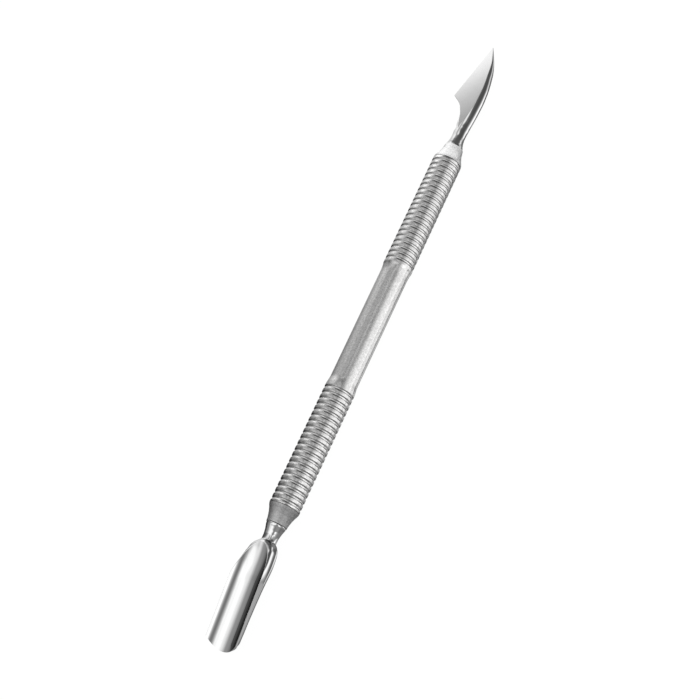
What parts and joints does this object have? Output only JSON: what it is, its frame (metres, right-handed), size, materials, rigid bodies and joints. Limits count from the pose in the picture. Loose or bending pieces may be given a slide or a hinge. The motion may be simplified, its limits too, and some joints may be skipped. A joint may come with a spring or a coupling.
{
  "type": "cuticle pusher",
  "caption": "Double-ended steel manicure tool: ringed satin handle, polished gouge-shaped cuticle pusher at one end and a flat-ground cleaning blade at the other.",
  "frame": {"origin": "on the handle's axis, at the middle of the handle; the whole tool's box centre lies within 0.65 mm of it on each axis", "axes": "+X along the handle towards the blade, +Y the side of the blade's heel, +Z the side that the pusher's hollow and the blade's ground flat face"},
  "size_m": [0.1307, 0.0077, 0.0058],
  "materials": {
    "satin_steel": "fine blasted satin with turned rings",
    "blasted_steel": "matt blasted",
    "polished_steel": "mirror-polished stainless steel, blade flat finely ground"
  },
  "bodies": {
    "root": {"handle_tube": "satin_steel", "nose_cone_blade_side": "blasted_steel", "nose_cone_pusher_side": "blasted_steel", "pusher_spoon": "polished_steel", "cleaner_blade": "polished_steel"}
  },
  "joints": []
}
